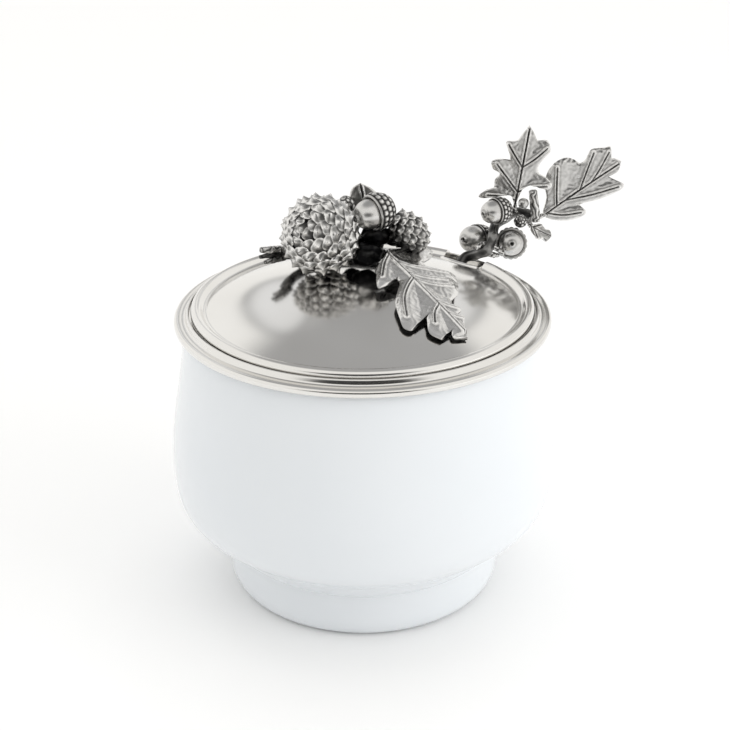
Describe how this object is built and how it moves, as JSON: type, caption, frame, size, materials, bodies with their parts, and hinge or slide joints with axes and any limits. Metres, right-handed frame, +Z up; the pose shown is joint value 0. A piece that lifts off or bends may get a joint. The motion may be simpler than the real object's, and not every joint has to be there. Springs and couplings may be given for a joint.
{
  "type": "sugar bowl",
  "caption": "Lidded stoneware sugar bowl with pewter rim, domed pewter lid topped by a pine cone, acorn and oak leaves, and a leaf-handled sugar spoon in a notch of the lid.",
  "frame": {"origin": "centre of the flat underside of the pot", "axes": "+Z up along the pot's axis; +X to the right and +Y away from the side that the pine cone and the large leaf face; the spoon leans out between +X and +Y"},
  "size_m": [0.1275, 0.1044, 0.1165],
  "materials": {
    "stoneware_glaze": "white glossy glaze, fine and even",
    "polished_pewter": "polished pewter, warm light grey, nearly a mirror",
    "antiqued_pewter": "cast pewter, blackened in its recesses and buffed bright on its edges"
  },
  "bodies": {
    "pot": {"stoneware_bowl": "stoneware_glaze", "rim_collar": "polished_pewter"},
    "lid": {"lid_plate": "polished_pewter", "lid_locating_ring": "polished_pewter", "pine_cone": "antiqued_pewter", "cone_piece": "antiqued_pewter", "lid_acorn_nut": "antiqued_pewter", "lid_acorn_cup": "antiqued_pewter", "lid_bud": "antiqued_pewter", "oak_leaf_front": "antiqued_pewter", "oak_leaf_rear": "antiqued_pewter", "lid_branch": "antiqued_pewter", "branch_end": "antiqued_pewter", "acorn_stalk": "antiqued_pewter", "cluster_bed": "antiqued_pewter"},
    "spoon": {"spoon_bowl": "polished_pewter", "spoon_stem": "antiqued_pewter", "spoon_twig": "antiqued_pewter", "spoon_leaf_upright": "antiqued_pewter", "spoon_leaf_right": "antiqued_pewter", "spoon_leaf_low": "antiqued_pewter", "spoon_acorn_left_nut": "antiqued_pewter", "spoon_acorn_left_cup": "antiqued_pewter", "spoon_acorn_right_nut": "antiqued_pewter", "spoon_acorn_right_cup": "antiqued_pewter", "spoon_acorn_top_nut": "antiqued_pewter", "spoon_acorn_top_cup": "antiqued_pewter", "spoon_bud": "antiqued_pewter", "spoon_berry": "antiqued_pewter"}
  },
  "joints": [
    {"name": "lid_lift", "type": "slide", "parent": "pot", "child": "lid", "axis": [0, 0, 1], "range_m": [0, 0.1]},
    {"name": "spoon_lift", "type": "slide", "parent": "pot", "child": "spoon", "axis": [0.4384, 0.4701, 0.766], "range_m": [0, 0.045]}
  ]
}
